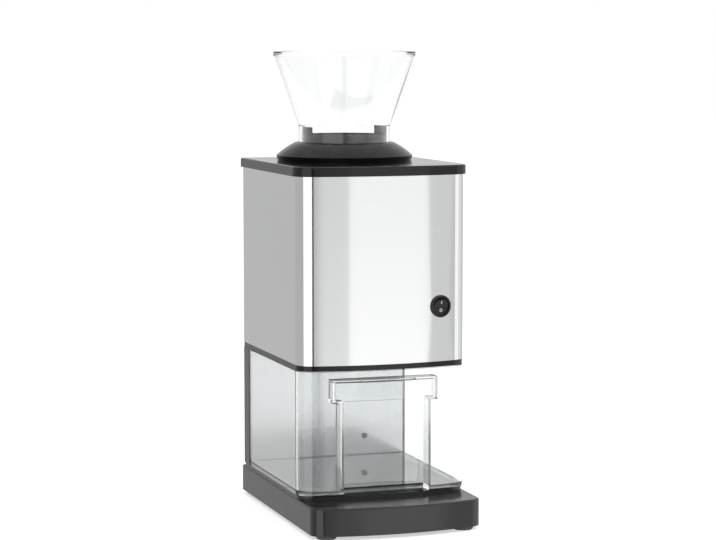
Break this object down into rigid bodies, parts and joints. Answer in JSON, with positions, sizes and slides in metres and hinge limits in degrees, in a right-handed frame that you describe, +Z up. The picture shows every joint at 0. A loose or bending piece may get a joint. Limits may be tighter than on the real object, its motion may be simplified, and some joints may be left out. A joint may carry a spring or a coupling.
{
  "type": "electric ice crusher",
  "caption": "Tall electric ice crusher with stainless housing, clear round hopper on top, clear pull-out container below and a round rocker switch.",
  "frame": {"origin": "on the surface it stands on, under the middle of the base", "axes": "+X right seen from the front, +Y to the back, +Z up; the container pulls out along -Y"},
  "size_m": [0.18, 0.2666, 0.471],
  "materials": {
    "black_plastic": "fine moulded texture",
    "stainless_steel": "satin polished sheet",
    "clear_plastic": "clear, polished",
    "switch_plastic": "semi-gloss",
    "rubber": "matte",
    "screw_steel": "zinc plated",
    "blade_steel": "ground",
    "shaft_steel": "turned",
    "chamber_plastic": "moulded",
    "gear_nylon": "moulded",
    "bush_bronze": "sintered",
    "lamination_steel": "stacked sheets",
    "winding_copper": "enamelled wire",
    "bracket_steel": "pressed",
    "carbon": "pressed graphite",
    "holder_plastic": "moulded",
    "gland_plastic": "moulded"
  },
  "bodies": {
    "root": {"base_cover": "black_plastic", "base_tray": "black_plastic", "brush_holders": "holder_plastic", "cable_gland": "gland_plastic", "carbon_brushes": "carbon", "chamber_screws": "screw_steel", "chute": "chamber_plastic", "cluster_pin": "shaft_steel", "column_screws": "screw_steel", "crush_chamber": "chamber_plastic", "deck": "black_plastic", "field_coils": "winding_copper", "fixed_blades": "blade_steel", "foot_screws": "screw_steel", "gearbox_bush": "bush_bronze", "gearbox_cover": "chamber_plastic", "gearbox_housing": "chamber_plastic", "gearbox_screws": "screw_steel", "gland_nut": "gland_plastic", "hopper_ring": "black_plastic", "hopper_seal": "rubber", "housing_wrap": "stainless_steel", "interlock_switch": "holder_plastic", "motor_bushes": "bush_bronze", "motor_front_bracket": "bracket_steel", "motor_screws": "screw_steel", "motor_stator": "lamination_steel", "panel_screws": "screw_steel", "rack_screws": "screw_steel", "rear_column": "black_plastic", "rear_panel": "black_plastic", "ring_screws": "screw_steel", "rod_nuts": "screw_steel", "rubber_feet": "rubber", "shaft_bush_front": "bush_bronze", "shaft_bush_rear": "bush_bronze", "splash_panel": "stainless_steel", "switch_body": "switch_plastic", "terminal_block": "holder_plastic", "tie_rods": "screw_steel", "top_plate": "black_plastic"},
    "container": {"container": "clear_plastic"},
    "hopper": {"hopper": "clear_plastic"},
    "rocker": {"switch_paddle": "switch_plastic"},
    "plunger": {"interlock_plunger": "holder_plastic"},
    "rotor": {"rotor_shaft": "shaft_steel", "blade_spacers": "shaft_steel", "retaining_ring": "screw_steel", "output_gear": "gear_nylon", "crusher_blade_1": "blade_steel", "crusher_blade_2": "blade_steel", "crusher_blade_3": "blade_steel", "crusher_blade_4": "blade_steel"},
    "cluster": {"cluster_gear": "gear_nylon"},
    "armature": {"motor_shaft": "shaft_steel", "motor_pinion": "shaft_steel", "armature_core": "lamination_steel", "armature_windings": "winding_copper", "commutator": "winding_copper", "cooling_fan": "gear_nylon"}
  },
  "joints": [
    {"name": "container_slide", "type": "slide", "parent": "root", "child": "container", "axis": [0, -1, 0], "range_m": [0, 0.18]},
    {"name": "hopper_lift", "type": "slide", "parent": "root", "child": "hopper", "axis": [0, 0, 1], "range_m": [0, 0.06]},
    {"name": "rocker_tilt", "type": "hinge", "parent": "root", "child": "rocker", "pos_m": [0.05674, -0.0819, 0.2195], "axis": [-0.984, -0.1784, 0], "range_deg": [0, 16]},
    {"name": "armature_spin", "type": "hinge", "parent": "root", "child": "armature", "pos_m": [-0.036, -0.05, 0.30575], "axis": [0, 1, 0], "continuous": true},
    {"name": "cluster_spin", "type": "hinge", "parent": "root", "child": "cluster", "pos_m": [0, -0.018, 0.30575], "axis": [0, 1, 0], "continuous": true},
    {"name": "rotor_spin", "type": "hinge", "parent": "root", "child": "rotor", "pos_m": [0, 0.048, 0.262], "axis": [0, 1, 0], "continuous": true},
    {"name": "plunger_slide", "type": "slide", "parent": "root", "child": "plunger", "axis": [0, -1, 0], "range_m": [0, 0.0022]}
  ],
  "couplings": [
    {"joint": "cluster_spin", "follows": "armature_spin", "ratio": -0.2},
    {"joint": "rotor_spin", "follows": "armature_spin", "ratio": 0.05},
    {"joint": "plunger_slide", "follows": "container_slide", "ratio": 0.0122}
  ]
}
